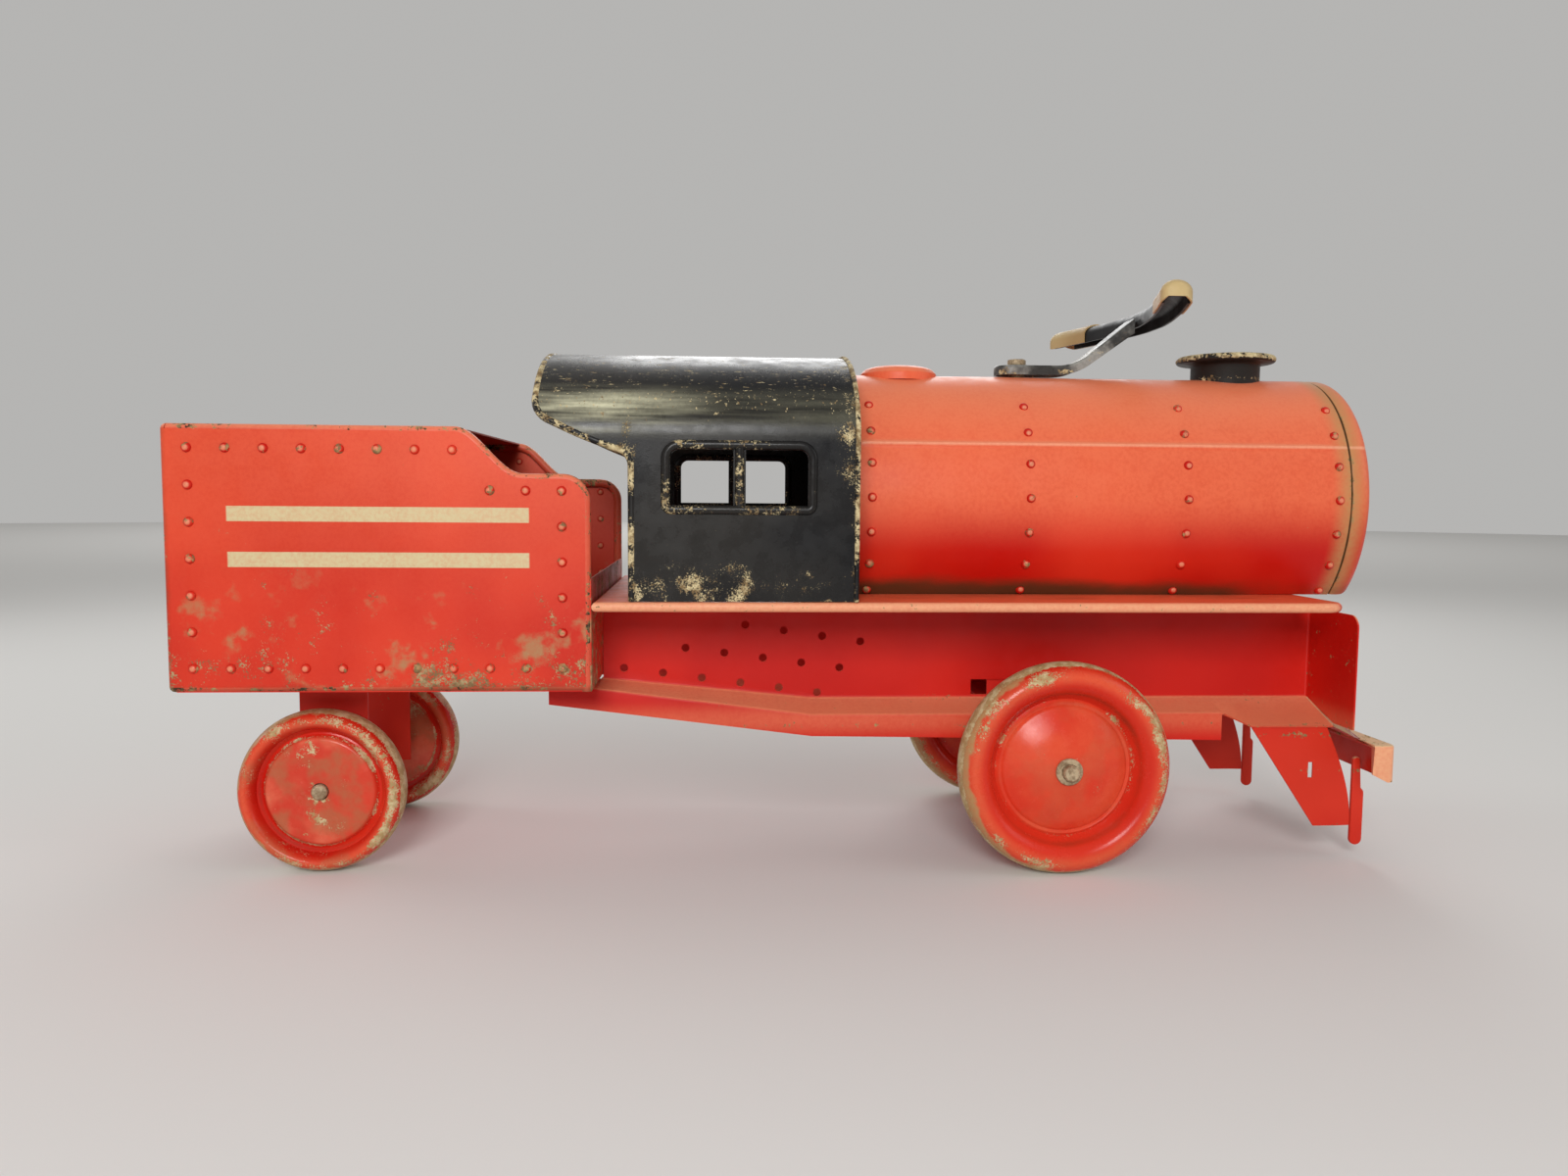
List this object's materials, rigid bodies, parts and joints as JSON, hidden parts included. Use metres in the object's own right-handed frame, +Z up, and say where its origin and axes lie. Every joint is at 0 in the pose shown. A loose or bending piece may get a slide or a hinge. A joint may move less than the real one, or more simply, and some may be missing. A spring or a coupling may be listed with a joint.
{
  "type": "ride-on toy locomotive",
  "caption": "Ride-on toy locomotive of pressed sheet steel with an open cab, a seat tender, free-turning disc wheels and a front axle steered by a T-shaped handle on the boiler.",
  "frame": {"origin": "on the ground under the middle of the locomotive's length and width", "axes": "+X forward to the nose, +Y to the locomotive's left, +Z up"},
  "size_m": [0.731, 0.231, 0.3605],
  "materials": {
    "red_paint": "worn red enamel with rust and scuffs",
    "black_paint": "chipped black enamel",
    "bare_steel": "bare steel, dulled and rusted"
  },
  "bodies": {
    "chassis": {"deck": "red_paint", "side_frame_left": "red_paint", "side_frame_right": "red_paint", "cross_member": "red_paint", "boiler_shell": "red_paint", "boiler_front": "red_paint", "dome": "red_paint", "stack": "black_paint", "cab_shell": "black_paint", "cab_front": "black_paint", "tender_body": "red_paint", "tender_top": "red_paint", "tender_floor": "red_paint", "tender_front": "red_paint", "buffer_beam": "red_paint", "pilot_left": "red_paint", "pilot_right": "red_paint", "pilot_toe_left": "red_paint", "pilot_toe_right": "red_paint", "rear_bracket": "red_paint", "rear_axle": "bare_steel", "rear_spacer_left": "bare_steel", "rear_spacer_right": "bare_steel"},
    "steering": {"axle_yoke": "red_paint", "steering_post": "bare_steel", "front_axle": "bare_steel", "front_spacer_left": "bare_steel", "front_spacer_right": "bare_steel", "front_washer_left": "bare_steel", "front_washer_right": "bare_steel", "front_nut_left": "bare_steel", "front_nut_right": "bare_steel", "handle_strap": "black_paint", "handle_bolt": "bare_steel", "handle_bar": "black_paint", "handle_grip_left": "black_paint", "handle_grip_right": "black_paint"},
    "front_wheel_left": {"front_wheel_left_outer": "red_paint", "front_wheel_left_inner": "red_paint", "front_wheel_left_hub": "bare_steel"},
    "front_wheel_right": {"front_wheel_right_outer": "red_paint", "front_wheel_right_inner": "red_paint", "front_wheel_right_hub": "bare_steel"},
    "rear_wheel_left": {"rear_wheel_left_outer": "red_paint", "rear_wheel_left_inner": "red_paint", "rear_wheel_left_hub": "bare_steel"},
    "rear_wheel_right": {"rear_wheel_right_outer": "red_paint", "rear_wheel_right_inner": "red_paint", "rear_wheel_right_hub": "bare_steel"}
  },
  "joints": [
    {"name": "steering_turn", "type": "hinge", "parent": "chassis", "child": "steering", "pos_m": [0.1515, 0, 0.2], "axis": [0, 0, 1], "range_deg": [-9, 9]},
    {"name": "front_wheel_left_turn", "type": "hinge", "parent": "steering", "child": "front_wheel_left", "pos_m": [0.1615, 0.095, 0.066], "axis": [0, 1, 0], "continuous": true},
    {"name": "front_wheel_right_turn", "type": "hinge", "parent": "steering", "child": "front_wheel_right", "pos_m": [0.1615, -0.095, 0.066], "axis": [0, 1, 0], "continuous": true},
    {"name": "rear_wheel_left_turn", "type": "hinge", "parent": "chassis", "child": "rear_wheel_left", "pos_m": [-0.2935, 0.072, 0.05], "axis": [0, 1, 0], "continuous": true},
    {"name": "rear_wheel_right_turn", "type": "hinge", "parent": "chassis", "child": "rear_wheel_right", "pos_m": [-0.2935, -0.072, 0.05], "axis": [0, 1, 0], "continuous": true}
  ]
}
